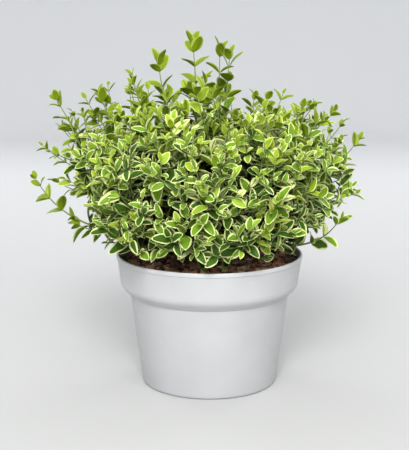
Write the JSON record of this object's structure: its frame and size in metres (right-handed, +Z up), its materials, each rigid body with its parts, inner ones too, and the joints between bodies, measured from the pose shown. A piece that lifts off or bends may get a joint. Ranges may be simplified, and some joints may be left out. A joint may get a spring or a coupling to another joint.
{
  "type": "potted wintercreeper euonymus shrub",
  "caption": "Low bushy evergreen shrub with opposite cream-edged leaves on upright shoots that fan out of one short foot, in a round collared nursery pot.",
  "frame": {"origin": "centre of the pot's flat underside, on the pot's axis", "axes": "+Z up along the pot's axis, -Y towards the front of the picture, +X to the right of it"},
  "size_m": [0.3132, 0.2596, 0.322],
  "materials": {
    "pot_plastic": "pale grey moulded plastic, satin",
    "compost": "dark damp compost with bark chips",
    "bark": "thin grey-green bark",
    "foliage": "leathery green leaves with cream edges"
  },
  "bodies": {
    "root": {"bough_brow_1": "bark", "bough_brow_2": "bark", "bough_brow_3": "bark", "bough_crest_back": "bark", "bough_crest_front": "bark", "bough_crest_left": "bark", "bough_crest_twin": "bark", "bough_crown_far_left": "bark", "bough_crown_far_right": "bark", "bough_crown_left": "bark", "bough_crown_right": "bark", "bough_shoulder_1": "bark", "bough_shoulder_2": "bark", "bough_shoulder_3": "bark", "bough_shoulder_4": "bark", "bough_shoulder_5": "bark", "bough_skirt_1": "bark", "bough_skirt_2": "bark", "bough_skirt_3": "bark", "bough_skirt_4": "bark", "bough_skirt_5": "bark", "bough_skirt_6": "bark", "bough_skirt_7": "bark", "bough_skirt_left": "bark", "bough_skirt_right": "bark", "bough_wing_left": "bark", "bough_wing_near_right": "bark", "bough_wing_right": "bark", "foot": "bark", "mass_brow_1": "foliage", "mass_brow_2": "foliage", "mass_brow_3": "foliage", "mass_crest_back": "foliage", "mass_crest_front": "foliage", "mass_crest_left": "foliage", "mass_crest_twin": "foliage", "mass_crown_far_left": "foliage", "mass_crown_far_right": "foliage", "mass_crown_left": "foliage", "mass_crown_right": "foliage", "mass_shoulder_1": "foliage", "mass_shoulder_2": "foliage", "mass_shoulder_3": "foliage", "mass_shoulder_4": "foliage", "mass_shoulder_5": "foliage", "mass_skirt_1": "foliage", "mass_skirt_2": "foliage", "mass_skirt_3": "foliage", "mass_skirt_4": "foliage", "mass_skirt_5": "foliage", "mass_skirt_6": "foliage", "mass_skirt_7": "foliage", "mass_skirt_left": "foliage", "mass_skirt_right": "foliage", "mass_wing_left": "foliage", "mass_wing_near_right": "foliage", "mass_wing_right": "foliage", "pot": "pot_plastic", "root_ball": "compost"}
  },
  "joints": []
}
